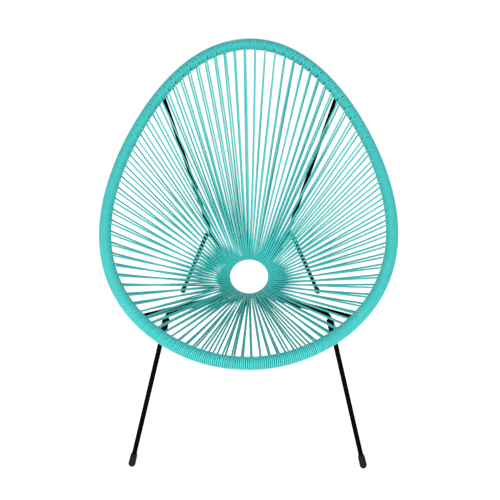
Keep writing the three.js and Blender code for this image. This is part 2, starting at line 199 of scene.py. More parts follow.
# %% [markdown]
# A finish puts the grain and the drift together under one shader. The colour and the roughness
# change over the surface, and everything that is the same all over stays on the shader's own
# sockets. Each finish of the chair is then one call with its own values.

# %% One finish
RELIEF_DEPTH = 0.0002


def finish(name, light, deep, roughness, spread, grain_scale, bump, metal=0.0, specular=0.5):
    material = bpy.data.materials.new(name)
    material.use_nodes = True
    tree = material.node_tree
    shader = tree.nodes["Principled BSDF"]
    shader.inputs["Metallic"].default_value = metal
    shader.inputs["Specular IOR Level"].default_value = specular
    place = tree.nodes.new("ShaderNodeTexCoord").outputs["Object"]
    drifting = tree.nodes.new("ShaderNodeGroup")
    drifting.node_tree = drift
    drifting.inputs["Light"].default_value = (*light, 1)
    drifting.inputs["Deep"].default_value = (*deep, 1)
    tree.links.new(place, drifting.inputs["Vector"])
    tree.links.new(drifting.outputs["Colour"], shader.inputs["Base Color"])
    grains = tree.nodes.new("ShaderNodeGroup")
    grains.node_tree = grain
    grains.inputs["Scale"].default_value = grain_scale
    grains.inputs["Roughness"].default_value = roughness
    grains.inputs["Spread"].default_value = spread
    tree.links.new(place, grains.inputs["Vector"])
    tree.links.new(grains.outputs["Roughness"], shader.inputs["Roughness"])
    relief = tree.nodes.new("ShaderNodeBump")
    relief.inputs["Strength"].default_value = bump
    relief.inputs["Distance"].default_value = RELIEF_DEPTH
    tree.links.new(grains.outputs["Height"], relief.inputs["Height"])
    tree.links.new(relief.outputs["Normal"], shader.inputs["Normal"])
    return material


print("a finish is made of", grain.name, "and", drift.name)

# %% [markdown]
# The frame is powder coated in a black that gives back almost no light, so its colour lies just
# above nothing and its shine is faint. The caps are of a rubber that is a little greyer and duller,
# and the bolts are of dark steel. A metal's shine has the colour of the metal, so only the bolts
# have any metal in their shader: powder coat and rubber cover what is beneath them.

# %% Frame, caps and bolts
frame_black = finish(
    "frame_black",
    light=(0.0011, 0.0012, 0.0013),
    deep=(0.0007, 0.0007, 0.0008),
    roughness=0.5,
    spread=0.14,
    grain_scale=2200,
    bump=0.5,
    specular=0.02,
)
cap_rubber = finish(
    "cap_rubber",
    light=(0.0044, 0.0046, 0.0048),
    deep=(0.0030, 0.0031, 0.0033),
    roughness=0.56,
    spread=0.15,
    grain_scale=1600,
    bump=0.6,
    specular=0.12,
)
bolt_steel = finish(
    "bolt_steel",
    light=(0.030, 0.031, 0.034),
    deep=(0.016, 0.017, 0.019),
    roughness=0.34,
    spread=0.2,
    grain_scale=1800,
    bump=0.3,
    metal=0.8,
)
print("finishes:", frame_black.name, cap_rubber.name, bolt_steel.name)

# %% [markdown]
# The cord has the same finish with the streaks put in: they darken it a little and they take the
# place of the grain in its bump. Vinyl cord is smoother than powder coat. Its highlight is tinted
# towards the cord's own colour, because the rim in the photograph stays turquoise where it shines.

# %% Cord finish
STREAK_DEPTH = 0.5
STREAK_TINT = (0.72, 0.86, 0.86, 1)
SHINE_TINT = (0.8, 1, 0.98, 1)

cord_vinyl = finish(
    "cord_vinyl",
    light=(0.080, 0.655, 0.628),
    deep=(0.062, 0.585, 0.556),
    roughness=0.42,
    spread=0.12,
    grain_scale=1400,
    bump=0.3,
    specular=0.4,
)
tree = cord_vinyl.node_tree
lines = tree.nodes.new("ShaderNodeGroup")
lines.node_tree = streaks
tree.links.new(tree.nodes.new("ShaderNodeTexCoord").outputs["UV"], lines.inputs["UV"])
shader = tree.nodes["Principled BSDF"]
shader.inputs["Specular Tint"].default_value = SHINE_TINT
plain = shader.inputs["Base Color"].links[0].from_socket
tint = tree.nodes.new("ShaderNodeMix")
tint.data_type = "RGBA"
tint.blend_type = "MULTIPLY"
tint.inputs["B"].default_value = STREAK_TINT
depth = math_node(tree, "MULTIPLY", lines.outputs["Mask"], STREAK_DEPTH)
tree.links.new(depth, tint.inputs["Factor"])
tree.links.new(plain, tint.inputs["A"])
tree.links.new(tint.outputs["Result"], shader.inputs["Base Color"])
relief = shader.inputs["Normal"].links[0].from_node
tree.links.new(lines.outputs["Mask"], relief.inputs["Height"])
print("finish with streaks:", cord_vinyl.name)

# %% [markdown]
# Cords and rods are both one round section that follows a line, so they are made as a curve with a
# round bevel, which is how Blender makes a wire, and are then turned into a mesh. The curve carries
# its section round a bend without twist, and its ends are filled. Blender's own UV map counts the
# points along the line, and here that count is exchanged for the true length in metres.

# %% Wires from points
def wire(name, points, radius, sides, material, slot, closed=False, fullness=None):
    """A round piece along some points; fullness, where it is given, thickens it point by point."""
    curve = bpy.data.curves.new(name, "CURVE")
    curve.dimensions = "3D"
    curve.bevel_depth = radius
    curve.bevel_resolution = (sides - 4) // 2
    curve.use_fill_caps = True
    spline = curve.splines.new("POLY")
    spline.points.add(len(points) - 1)
    for knot, place, full in zip(spline.points, points, fullness or [1.0] * len(points)):
        knot.co = (*place, 1)
        knot.radius = full
    spline.use_cyclic_u = closed
    bent = bpy.data.objects.new(name + "_line", curve)
    bpy.context.collection.objects.link(bent)
    bpy.context.view_layer.update()
    depsgraph = bpy.context.evaluated_depsgraph_get()
    mesh = bpy.data.meshes.new_from_object(bent.evaluated_get(depsgraph))
    bpy.data.objects.remove(bent)
    knots = np.array(points + points[:1] if closed else points)
    marks = np.concatenate([[0], np.cumsum(np.linalg.norm(np.diff(knots, axis=0), axis=1))])
    uv = np.zeros(2 * len(mesh.loops), np.float32)
    mesh.uv_layers[0].data.foreach_get("uv", uv)
    uv[0::2] = np.interp(uv[0::2] * (len(knots) - 1), np.arange(len(knots)), marks)
    mesh.uv_layers[0].data.foreach_set("uv", uv)
    return piece(name, mesh, material)


def piece(name, mesh, material):
    """A mesh as a piece of the chair, with its finish, riding on the one body there is."""
    made = bpy.data.objects.new(name, mesh)
    mesh.name = name
    mesh.materials.clear()
    mesh.materials.append(material)
    bpy.context.collection.objects.link(made)
    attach(made, "root")
    return made


# %% [markdown]
# The hoop is an egg when seen square on, fuller towards the front, and it is laid on a line that
# runs gently up from the front rim, then bends up to the back. These are the sizes that the packed
# solids have: a straight, an arc and a straight for the line that shows from the side, and for the
# egg a half width and three fullnesses, which make it wider or narrower on the way from the back
# to the front.

# %% Hoop sizes
HOOP_TUBE = 0.0222
HOOP_HALF_WIDTH = 0.3434
HOOP_FRONT_FULLNESS = 0.0378
HOOP_CORNER_FULLNESS = 0.0206
HOOP_NOSE_FULLNESS = 0.022
HOOP_FRONT_Y = -0.4311
HOOP_FRONT_HEIGHT = 0.3843
HOOP_FRONT_SLOPE = radians(15.1)
HOOP_BACK_SLOPE = radians(49.7)
HOOP_FRONT_STRAIGHT = 0.0535
HOOP_BACK_STRAIGHT = 0.0918
HOOP_CURVE_RADIUS = 1.235

arc_length = HOOP_CURVE_RADIUS * (HOOP_BACK_SLOPE - HOOP_FRONT_SLOPE)
side_length = HOOP_FRONT_STRAIGHT + arc_length + HOOP_BACK_STRAIGHT
hoop_lean = (HOOP_FRONT_SLOPE + HOOP_BACK_SLOPE) / 2
hoop_axis = Vector((0, -sin(hoop_lean), cos(hoop_lean)))
print("hoop from front to back, along its side:", round(side_length, 4), "m")

# %% [markdown]
# A hoop could be a Bezier curve with a few handles, moved until it looks right. But the rods are
# welded to this one and the cord is wound round it, so they have to know to a hair where it runs.
# It is therefore worked out from its sizes, in small steps that are even in the angle of the egg,
# and the length walked so far is kept at each step.

# %% Hoop line
HOOP_STEPS = 1440


def side_line(length):
    first = min(length, HOOP_FRONT_STRAIGHT)
    bent = min(max(length - HOOP_FRONT_STRAIGHT, 0), arc_length)
    last = max(length - HOOP_FRONT_STRAIGHT - arc_length, 0)
    slope = HOOP_FRONT_SLOPE + bent / HOOP_CURVE_RADIUS
    y = first * cos(HOOP_FRONT_SLOPE) + last * cos(HOOP_BACK_SLOPE)
    y += HOOP_CURVE_RADIUS * (sin(slope) - sin(HOOP_FRONT_SLOPE))
    z = first * sin(HOOP_FRONT_SLOPE) + last * sin(HOOP_BACK_SLOPE)
    z += HOOP_CURVE_RADIUS * (cos(HOOP_FRONT_SLOPE) - cos(slope))
    return HOOP_FRONT_Y + y, HOOP_FRONT_HEIGHT + z


def hoop_point(share):
    forward = cos(tau * share)
    width = HOOP_HALF_WIDTH + HOOP_FRONT_FULLNESS * forward
    width -= HOOP_CORNER_FULLNESS * forward**2 + HOOP_NOSE_FULLNESS * forward**3
    y, z = side_line(side_length * (1 - forward) / 2)
    return Vector((width * sin(tau * share), y, z))


hoop_points = [hoop_point(i / HOOP_STEPS) for i in range(HOOP_STEPS + 1)]
hoop_marks = [0.0]
for before, after in zip(hoop_points, hoop_points[1:]):
    hoop_marks.append(hoop_marks[-1] + (after - before).length)
hoop_length = hoop_marks[-1]
print("hoop, once round:", round(hoop_length, 4), "m")

# %% [markdown]
# A cord can leave the hoop anywhere, so a place is asked for by its length along the hoop from the
# middle of the front. It gives the hoop's centre and three directions: onward, outward from the
# seat, and up out of the seat. The two steps on either side of the place are looked up and it is
# set between them, which is quick and close enough at 1440 steps.

# %% Places along the hoop
def hoop_at(reach):
    """The hoop's centre at a length along it, and the directions onward, outward and upward."""
    reach %= hoop_length
    i = min(bisect_right(hoop_marks, reach) - 1, HOOP_STEPS - 1)
    share = (reach - hoop_marks[i]) / (hoop_marks[i + 1] - hoop_marks[i])
    centre = hoop_points[i].lerp(hoop_points[i + 1], share)
    before = hoop_points[i - 1 if i else HOOP_STEPS - 1]
    after = hoop_points[(i + 2) % HOOP_STEPS]
    onward = (after - before).normalized()
    outward = onward.cross(hoop_axis).normalized()
    return centre, onward, outward, outward.cross(onward)


print("top of the hoop:", [round(v, 3) for v in hoop_at(hoop_length / 2)[0]])

# %% [markdown]
# The lacing is counted in ninety cells round the hoop, one pair of strands to each. They lie closer
# along the front, so a length along the hoop is looked up zone by zone. The ring has the same
# ninety cells, evenly spaced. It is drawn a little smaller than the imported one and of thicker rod,
# which leaves the hole that the photograph shows.

# %% Cells
CORD_DIAMETER = 0.0037
FRONT_PAIRS = 14
SIDE_PAIRS = 21
BACK_PAIRS = 10
FRONT_WELD_REACH = 0.292
BACK_WELD_REACH = 0.2747
RING_DIAMETER = 0.1205
RING_ROD = 0.011
RING_CENTRE = Vector((0, 0.0563, 0.298))
RING_TILT = radians(32)

cell_count = 2 * (FRONT_PAIRS + SIDE_PAIRS + BACK_PAIRS)
side_reach = hoop_length / 2 - FRONT_WELD_REACH - BACK_WELD_REACH
ring_forward = Vector((0, -cos(RING_TILT), -sin(RING_TILT)))
ring_down = Vector((0, sin(RING_TILT), -cos(RING_TILT)))


def hoop_reach(cell):
    half = min(cell, cell_count - cell)
    reach = min(half, FRONT_PAIRS) * FRONT_WELD_REACH / FRONT_PAIRS
    reach += min(max(half - FRONT_PAIRS, 0), SIDE_PAIRS) * side_reach / SIDE_PAIRS
    reach += max(half - FRONT_PAIRS - SIDE_PAIRS, 0) * BACK_WELD_REACH / BACK_PAIRS
    return hoop_length - reach if cell > cell_count / 2 else reach


def ring_spoke(cell):
    turn = tau * cell / cell_count
    return Vector((sin(turn), 0, 0)) + ring_forward * cos(turn)


def ring_point(cell):
    return RING_CENTRE + ring_spoke(cell) * RING_DIAMETER / 2


print("cells round the hoop and the ring:", cell_count)

# %% [markdown]
# The steel frame. Seat rods and leg rods are straight lengths with bends of one radius, so each is
# given by its corners alone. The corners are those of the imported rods. The left side is the right
# side with its X turned round. The four legs are thicker than the rest, as the photograph shows
# them.

# %% Rod corners
FRAME_ROD = 0.010
LEG_ROD = 0.012
SEAT_CORNERS = [
    (0.25011, -0.30444, 0.42105),
    (0.23836, -0.26338, 0.38761),
    (0.05900, 0.02152, 0.25931),
    (0.05900, 0.11480, 0.31760),
    (0.10614, 0.11936, 0.40229),
    (0.21409, 0.21803, 0.70847),
    (0.22664, 0.21119, 0.75823),
]
LEG_CORNERS = [
    (0.28210, -0.34270, 0.00600),
    (0.19336, -0.18310, 0.34094),
    (0.05900, 0.02893, 0.24744),
    (0.05900, 0.12222, 0.30573),
    (0.11291, 0.13010, 0.39640),
    (0.22450, 0.43700, 0.00600),
]


def on_side(corners, side):
    return [Vector((side * x, y, z)) for x, y, z in corners]


print("corners in a seat rod and in a leg rod:", len(SEAT_CORNERS), len(LEG_CORNERS))

# %% [markdown]
# A rod is bent round a former, so all its bends have one radius. A curve through the corners would
# cut them short or swing wide of them, so each corner is replaced by an arc that touches both of
# its straights. A leg's thick length runs as far as its knee and thins out within the bend there.

# %% Bends
KNEE_EASE = 0.012
SEAT_BEND_RADIUS = 0.036
LEG_BEND_RADIUS = 0.016
BEND_STEP = radians(6)


def rounded(corners, radius):
    """The points of a bent rod: its two ends, and an arc of points at each corner between them."""
    path = [corners[0]]
    for before, corner, after in zip(corners, corners[1:], corners[2:]):
        back, ahead = (before - corner).normalized(), (after - corner).normalized()
        half = back.angle(ahead) / 2
        middle = (back + ahead).normalized()
        centre = corner + middle * radius / sin(half)
        sideways = (ahead - back).normalized()
        sweep = pi - 2 * half
        steps = ceil(sweep / BEND_STEP)
        for i in range(steps + 1):
            angle = sweep * (i / steps - 0.5)
            path.append(centre + radius * (sideways * sin(angle) - middle * cos(angle)))
    return path + [corners[-1]]


def leg_fullness(path):
    """How full a leg rod is at each point: thick as far as its first and last bend, thin between."""
    steps = [(after - before).length for before, after in zip(path, path[1:])]
    marks = [sum(steps[:i]) for i in range(len(path))]
    fullness = []
    for mark in marks:
        beyond = min(mark - steps[0], marks[-1] - steps[-1] - mark)
        share = 1 - min(max(beyond / KNEE_EASE, 0), 1)
        fullness.append(1 + (LEG_ROD / FRAME_ROD - 1) * share)
    return fullness


print("points along a seat rod:", len(rounded(on_side(SEAT_CORNERS, 1), SEAT_BEND_RADIUS)))

# %% [markdown]
# The steel is laid along its lines. The real hoop, ring and rods are each bent from one length of
# stock, so each is one wire here, and the hoop and the ring close on themselves. A section with
# more sides is kept for what is thick and stands alone. Every fourth point of the hoop's line is
# enough for a smooth tube.

# %% Steel pieces
TUBE_SIDES = 24
ROD_SIDES = 20
RING_SIDES = 16
TUBE_STRIDE = 4
SIDES = (("right", 1), ("left", -1))


def steel_wire(name, points, radius, sides, **more):
    return wire(name, points, radius, sides, frame_black, "frame", **more)


tube_line = hoop_points[:-1:TUBE_STRIDE]
hoop_tube = steel_wire("hoop_tube", tube_line, HOOP_TUBE / 2, TUBE_SIDES, closed=True)
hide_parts("rim_hoop")
ring_line = [ring_point(cell) for cell in range(cell_count)]
ring_rod = steel_wire("ring_rod", ring_line, RING_ROD / 2, RING_SIDES, closed=True)
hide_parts("centre_ring")
seat_paths = []
for side_name, side in SIDES:
    seat_path = rounded(on_side(SEAT_CORNERS, side), SEAT_BEND_RADIUS)
    seat_paths.append(seat_path)
    seat_rod = steel_wire(side_name + "_seat_rod_bent", seat_path, FRAME_ROD / 2, ROD_SIDES)
    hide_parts(side_name + "_seat_rod")
    leg_path = rounded(on_side(LEG_CORNERS, side), LEG_BEND_RADIUS)
    full = leg_fullness(leg_path)
    leg_rod = steel_wire(side_name + "_leg_rod_bent", leg_path, FRAME_ROD / 2, ROD_SIDES, fullness=full)
    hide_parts(side_name + "_leg_rod")
print("steel pieces made:", 2 + 2 * len(SIDES))

# %% [markdown]
# Round pieces that stand on a rod are turned: half an outline is drawn in the XZ plane and spun
# about Z, and the finished shape is then leaned onto its axis. A spin can leave its faces inward, so
# the normals are worked out again once the seam is merged.

# %% Turned pieces
SPIN_STEPS = 40
SMOOTH_UNDER = radians(35)
TINY = 1e-6


def turned(outline, base, axis):
    """An outline of (radius, height) spun about Z, then set on a place with Z along the axis."""
    shape = bmesh.new()
    knots = [shape.verts.new((radius, 0, height)) for radius, height in outline]
    edges = [shape.edges.new(pair) for pair in zip(knots, knots[1:])]
    bmesh.ops.spin(
        shape,
        geom=knots + edges,
        axis=(0, 0, 1),
        cent=(0, 0, 0),
        angle=tau,
        steps=SPIN_STEPS,
        use_merge=True,
    )
    bmesh.ops.remove_doubles(shape, verts=shape.verts, dist=TINY)
    bmesh.ops.recalc_face_normals(shape, faces=shape.faces)
    lean = axis.to_track_quat("Z", "Y").to_matrix().to_4x4()
    bmesh.ops.transform(shape, matrix=Matrix.Translation(base) @ lean, verts=shape.verts)
    return shape


def finished(name, shape, material):
    """A bmesh as a piece that is smooth but for its edges."""
    mesh = bpy.data.meshes.new(name)
    shape.to_mesh(mesh)
    shape.free()
    for face in mesh.polygons:
        face.use_smooth = True
    mesh.set_sharp_from_angle(angle=SMOOTH_UNDER)
    return piece(name, mesh, material)


# %% [markdown]
# Each leg rod is bolted to the seat rod above it at two places. The seat rod carries a bush on its
# underside and the leg rod a boss through it; both are short turned pieces with an eased edge.

# %% Bosses and bushes
BUSH_DIAMETER = 0.012
BOSS_DIAMETER = 0.015
BOSS_PROUD = 0.0007
FIT = 0.0003
EASED_EDGE = 0.0006
BOLT_SHARES = {"front": 0.5, "rear": 0.42}
BOLT_SPANS = {"front": (1, 3), "rear": (3, 5)}


def joint_between(seat, leg, share):
    """The bolt's place on the leg rod, its direction to the seat rod, and how far that is."""
    on_leg = leg[0].lerp(leg[1], share)
    span = seat[1] - seat[0]
    on_seat = seat[0] + span * ((on_leg - seat[0]).dot(span) / span.length_squared)
    rise = on_seat - on_leg
    return on_leg, rise.normalized(), rise.length


def drum(low, high, radius):
    """Half the outline of a short cylinder with eased edges, between two heights on its axis."""
    eased = radius - EASED_EDGE
    lower = [(0, low), (eased, low), (radius, low + EASED_EDGE)]
    upper = [(radius, high - EASED_EDGE), (eased, high), (0, high)]
    return lower + upper


boss_top = FRAME_ROD / 2 + BOSS_PROUD
for side_name, side in SIDES:
    for place, (first, last) in BOLT_SPANS.items():
        seat = on_side(SEAT_CORNERS, side)[first:last]
        leg = on_side(LEG_CORNERS, side)[first:last]
        base, up, height = joint_between(seat, leg, BOLT_SHARES[place])
        boss = turned(drum(-boss_top, boss_top, BOSS_DIAMETER / 2), base, up)
        finished(f"{side_name}_{place}_boss", boss, frame_black)
        bush = turned(drum(boss_top + FIT, height, BUSH_DIAMETER / 2), base, up)
        finished(f"{side_name}_{place}_bush", bush, frame_black)
print("bosses and bushes made:", 2 * len(SIDES) * len(BOLT_SPANS))

# %% [markdown]
# Round the top of each front leg, close under the bend, sits a short steel sleeve. A thicker length
# of the rod itself would look much the same from afar, but a turned sleeve has square ends with an
# eased edge, and stays a hair clear of the rod, where a thin dark line shows.

# %% Leg sleeves
SLEEVE_RADIUS = 0.0085
SLEEVE_LENGTH = 0.056

for side_name, side in SIDES:
    foot, knee, beyond = on_side(LEG_CORNERS, side)[:3]
    down = (foot - knee).normalized()
    top = LEG_BEND_RADIUS / tan(down.angle(beyond - knee) / 2)
    bottom = top + SLEEVE_LENGTH
    bore = LEG_ROD / 2 + FIT
    outline = [(bore, top), *drum(top, bottom, SLEEVE_RADIUS)[1:-1], (bore, bottom), (bore, top)]
    finished(f"{side_name}_leg_sleeve", turned(outline, knee, down), frame_black)
print("sleeves made:", len(SIDES))

# %% [markdown]
# The seat rods are welded into the hoop. The bead follows the line where a rod's surface meets the
# tube's: for each angle round the rod, the place along the rod that is a tube's radius from the
# hoop's line. Under the powder coat a bead is only a soft ridge, a little uneven, so a thin wire
# with a ripple along the rod is enough.

# %% Weld beads
BEAD_RADIUS = 0.0014
BEAD_SIDES = 8
BEAD_POINTS = 36
BEAD_RIPPLE = 0.0003
BEAD_RIPPLES = 9


def bead_line(rod_start, rod_axis, onward):
    """The closed line where a rod's surface meets the hoop's tube."""
    side_a = rod_axis.orthogonal().normalized()
    side_b = rod_axis.cross(side_a)
    line = []
    for i in range(BEAD_POINTS):
        turn = tau * i / BEAD_POINTS
        spoke = (side_a * cos(turn) + side_b * sin(turn)) * FRAME_ROD / 2
        flat_spoke = spoke - onward * spoke.dot(onward)
        flat_axis = rod_axis - onward * rod_axis.dot(onward)
        a, b = flat_axis.length_squared, flat_axis.dot(flat_spoke)
        c = flat_spoke.length_squared - (HOOP_TUBE / 2) ** 2
        out = (-b + sqrt(b * b - a * c)) / a
        ripple = BEAD_RIPPLE * sin(BEAD_RIPPLES * turn)
        line.append(rod_start + spoke + rod_axis * (out + ripple))
    return line


for side_name, side in SIDES:
    corners = on_side(SEAT_CORNERS, side)
    ends = (("front", corners[0], corners[1]), ("back", corners[-1], corners[-2]))
    for place, start, following in ends:
        nearest = min(range(HOOP_STEPS), key=lambda i: (hoop_points[i] - start).length)
        onward = (hoop_points[nearest + 1] - hoop_points[nearest - 1]).normalized()
        bead = bead_line(start, (following - start).normalized(), onward)
        steel_wire(f"{side_name}_{place}_weld", bead, BEAD_RADIUS, BEAD_SIDES, closed=True)
print("weld beads made:", len(SIDES) * len(ends))

# %% [markdown]
# A foot cap is a rubber sleeve pushed over the end of the leg: a sloped shoulder where the rod goes
# in, a wall that widens a little towards the floor, and a round nose. The chair's weight presses a
# flat on it, so the spun shape is cut off at the floor and the cut is filled.

# %% Foot caps
FOOT_RADIUS = 0.00875
FOOT_LENGTH = 0.026
FOOT_SHOULDER = 0.0034
FOOT_TAPER = 0.0005
CAP_EASE = 0.0004
CAP_LIP = 0.0009
CLOSE_FIT = 0.00005
NOSE_STEPS = 8


def foot_outline():
    """Half the outline of a cap, from the tip of its nose, up outside and down its bore."""
    nose = [pi / 2 * i / NOSE_STEPS for i in range(NOSE_STEPS + 1)]
    outer = [(FOOT_RADIUS * sin(a), -FOOT_RADIUS * cos(a)) for a in nose]
    bore = LEG_ROD / 2 + CLOSE_FIT
    wall = FOOT_RADIUS - FOOT_TAPER
    shoulder = [
        (wall, FOOT_LENGTH - FOOT_SHOULDER - 2 * CAP_EASE),
        (wall - CAP_EASE, FOOT_LENGTH - FOOT_SHOULDER),
        (bore + CAP_LIP, FOOT_LENGTH - CAP_EASE),
        (bore + CAP_EASE, FOOT_LENGTH),
        (bore, FOOT_LENGTH - CAP_EASE),
    ]
    return outer + shoulder + [(bore, -FIT), (0, -FIT)]


for side_name, side in SIDES:
    corners = on_side(LEG_CORNERS, side)
    ends = (("front", corners[0], corners[1]), ("rear", corners[-1], corners[-2]))
    for place, end, above in ends:
        cap = turned(foot_outline(), end, (above - end).normalized())
        everything = cap.verts[:] + cap.edges[:] + cap.faces[:]
        bmesh.ops.bisect_plane(
            cap,
            geom=everything,
            plane_co=(0, 0, 0),
            plane_no=(0, 0, 1),
            clear_inner=True,
        )
        bmesh.ops.holes_fill(cap, edges=[edge for edge in cap.edges if edge.is_boundary])
        made = finished(f"{side_name}_{place}_cap", cap, cap_rubber)
        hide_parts(f"{side_name}_{place}_foot")
print("caps made:", len(SIDES) * len(ends))

# %% [markdown]
# The cord is the chair's face. It is wound tightly round the hoop; at each cell it leaves over the
# top, runs down to the ring, turns back under it and returns to the underside of the hoop, where
# the winding goes on. Loose strands could be copied round the hoop, but then none would join the
# winding. Here one cord is followed the way it is laced. An angle round the tube is counted from
# the outer side over the top. This cell works out where a pair leaves the tube and comes back to
# it, on the straight lines that touch both the winding and the turn round the ring.

# %% Strand ends
WIND_RADIUS = (HOOP_TUBE + CORD_DIAMETER) / 2 + CLOSE_FIT
TURN_RADIUS = (RING_ROD + CORD_DIAMETER) / 2 + CLOSE_FIT
RING_SHIFT = 0.25


def tangent_ends(reach, cell, side):
    """The straight from the winding to the turn round the ring, over (1) or under (-1) both."""
    centre, onward, outward, upward = hoop_at(reach)
    target = ring_point(cell - side * RING_SHIFT)
    inward = target - centre
    span = inward.length
    inward.normalize()
    above = onward.cross(inward).normalized()
    above *= side if above.dot(upward) > 0 else -side
    lean = (WIND_RADIUS - TURN_RADIUS) / span
    leaving = above * sqrt(1 - lean**2) + inward * lean
    angle = atan2(above.dot(upward), above.dot(outward)) % tau
    slant = side * WIND_RADIUS * inward.dot(onward) / sqrt(1 - inward.dot(onward) ** 2)
    return centre + leaving * WIND_RADIUS, target + leaving * TURN_RADIUS, angle, slant


top_end, ring_end, _, _ = tangent_ends(hoop_reach(0.5), 0.5, 1)
print("first strand, hoop to ring:", round((ring_end - top_end).length, 3), "m")

# %% [markdown]
# A tight cord that crosses a rod lies against it. A simulation could find out how, but only the two
# seat rods are in the way, so a simple test does: for each point of a strand the nearest place on a
# rod's line is found, and a point that would be inside the rod is moved straight out to its surface.

# %% Clear of the seat rods
FREE_FULLNESS = 1.2
HAIR = 0.0001
STRAND_CLEAR = (FRAME_ROD + FREE_FULLNESS * CORD_DIAMETER) / 2 + HAIR


def nearest_on(path, place):
    """The place on a path of straight steps that lies nearest to another place."""
    spots = []
    for start, end in zip(path, path[1:]):
        step = end - start
        share = (place - start).dot(step) / step.length_squared
        spots.append(start + step * min(max(share, 0), 1))
    return min(spots, key=lambda spot: (spot - place).length)


def beside_rods(place):
    """The place itself, or the nearest one where a strand lies against a seat rod and not in it."""
    for path in seat_paths:
        on_rod = nearest_on(path, place)
        gap = place - on_rod
        if gap.length < STRAND_CLEAR:
            place = on_rod + gap.normalized() * STRAND_CLEAR
    return place


print("least way from a strand's middle to a seat rod's:", round(STRAND_CLEAR * 1000, 2), "mm")

# %% [markdown]
# A strand is drawn tight, but not perfectly: each hangs a little and bows a little to one side, and
# that is what keeps ninety pairs from looking ruled. The bows come from a random series with a
# fixed seed, so that every run of the script gives the same chair.

# %% Hanging strands
SAG = 0.0016
STRAND_BOW = 0.0024
STRAND_POINTS = 15
BOW_SEED = 11

loose = random.Random(BOW_SEED)


def hanging(start, end, bow):
    """A strand's points between two ends, with a little slack and a little bow to one side."""
    across = (end - start).cross(Vector((0, 0, 1)))
    across = across.normalized() if across.length > TINY else Vector((1, 0, 0))
    points = []
    for i in range(1, STRAND_POINTS):
        share = i / STRAND_POINTS
        belly = 4 * share * (1 - share)
        sagging = Vector((0, 0, -SAG * belly))
        points.append(beside_rods(start.lerp(end, share) + across * bow * belly + sagging))
    return points


print("points along a strand, between its ends:", STRAND_POINTS - 1)

# %% [markdown]
# At the ring the cord makes half a turn round the inner side. Its angle is measured from the inner
# side over the top, and between the two strands' ends the cord also slips a little along the ring,
# because the strand that comes back starts half a cell further on.

# %% Turns round the ring
TURN_POINTS = 9


def ring_turn(cell, top, bottom):
    """The bend round the inner side of the ring, from the upper strand's end to the lower one's."""
    centre = ring_point(cell)
    spoke = ring_spoke(cell)
    along = spoke.cross(ring_down).normalized()
    inner = -spoke
    upper = -ring_down
    lead = atan2((top - centre).dot(upper), (top - centre).dot(inner))
    tail = atan2((bottom - centre).dot(upper), (bottom - centre).dot(inner))
    start_slip = (top - centre).dot(along)
    end_slip = (bottom - centre).dot(along)
    points = []
    for i in range(TURN_POINTS + 1):
        share = i / TURN_POINTS
        angle = lead + (tail - lead) * share
        slip = start_slip + (end_slip - start_slip) * share
        points.append(centre + TURN_RADIUS * (inner * cos(angle) + upper * sin(angle)) + along * slip)
    return points


print("points to a turn round the ring:", TURN_POINTS + 1)

# %% [markdown]
# The winding between two pairs is a helix with a whole number of extra turns, chosen so that the
# turns lie a cord's width apart. Where it takes over from a strand it first keeps the strand's
# slant and then eases into the helix. At a weld the seat rod stands in the way on the inner side,
# so the turns there part to either side of it and close up again on the outside. This cell finds
# how far they part.

# %% Parting at the welds
WELD_SPREAD = 0.030
ROD_CLEAR = (FRAME_ROD + CORD_DIAMETER) / 2 + HAIR

weld_rods = {}
for _, side in SIDES:
    corners = on_side(SEAT_CORNERS, side)
    front_cell = FRONT_PAIRS if side > 0 else cell_count - FRONT_PAIRS
    back_cell = FRONT_PAIRS + SIDE_PAIRS if side > 0 else cell_count - FRONT_PAIRS - SIDE_PAIRS
    weld_rods[front_cell] = (corners[0], (corners[1] - corners[0]).normalized())
    weld_rods[back_cell] = (corners[-1], (corners[-2] - corners[-1]).normalized())
print("cells that a seat rod is welded at:", sorted(weld_rods))


def parted(place, onward, rod, away):
    """How far along the hoop a point must move, one way, to clear the seat rod."""
    start, axis = rod
    reach = place - start
    if reach.dot(axis) < 0:
        return 0.0
    gap = reach - axis * reach.dot(axis)
    step = (onward - axis * onward.dot(axis)) * away
    a, b, c = step.dot(step), gap.dot(step), gap.dot(gap) - ROD_CLEAR**2
    inside = b * b - a * c
    if inside <= 0:
        return 0.0
    return max((-b + sqrt(inside)) / a, 0.0)


def weld_push(angle, reach, weld_reach, joint):
    """How far a point of the winding moves along the hoop to make way for the rod at a weld."""
    away = 1 if reach > weld_reach else -1
    distance = abs(reach - weld_reach)
    edge = weld_reach + away * CORD_DIAMETER / 2
    centre, onward, outward, upward = hoop_at(edge)
    place = centre + WIND_RADIUS * (outward * cos(angle) + upward * sin(angle))
    need = parted(place, onward, weld_rods[joint], away)
    return away * need * max(1 - distance / WELD_SPREAD, 0)


# %% [markdown]
# The helix itself is counted in the angle swept since the cord came back to the hoop. The number of
# whole turns is rounded up only when it is well past the half, because a turn too few spreads the
# others by a hair, and a turn too many would squeeze the cord into itself. At each join between two
# packed runs the turns part by half a millimetre more, so that the runs don't touch.

# %% Winding
POINTS_PER_TURN = 20
EASE_ANGLE = radians(80)
SLIT = 0.0005
ROUND_DOWN = 0.15


def still_slanting(slant, swept):
    """How far along the hoop a strand's own slant has carried the cord, this far round from it."""
    share = swept / EASE_ANGLE
    return slant * EASE_ANGLE * share * (1 - share) ** 2 if share < 1 else 0.0


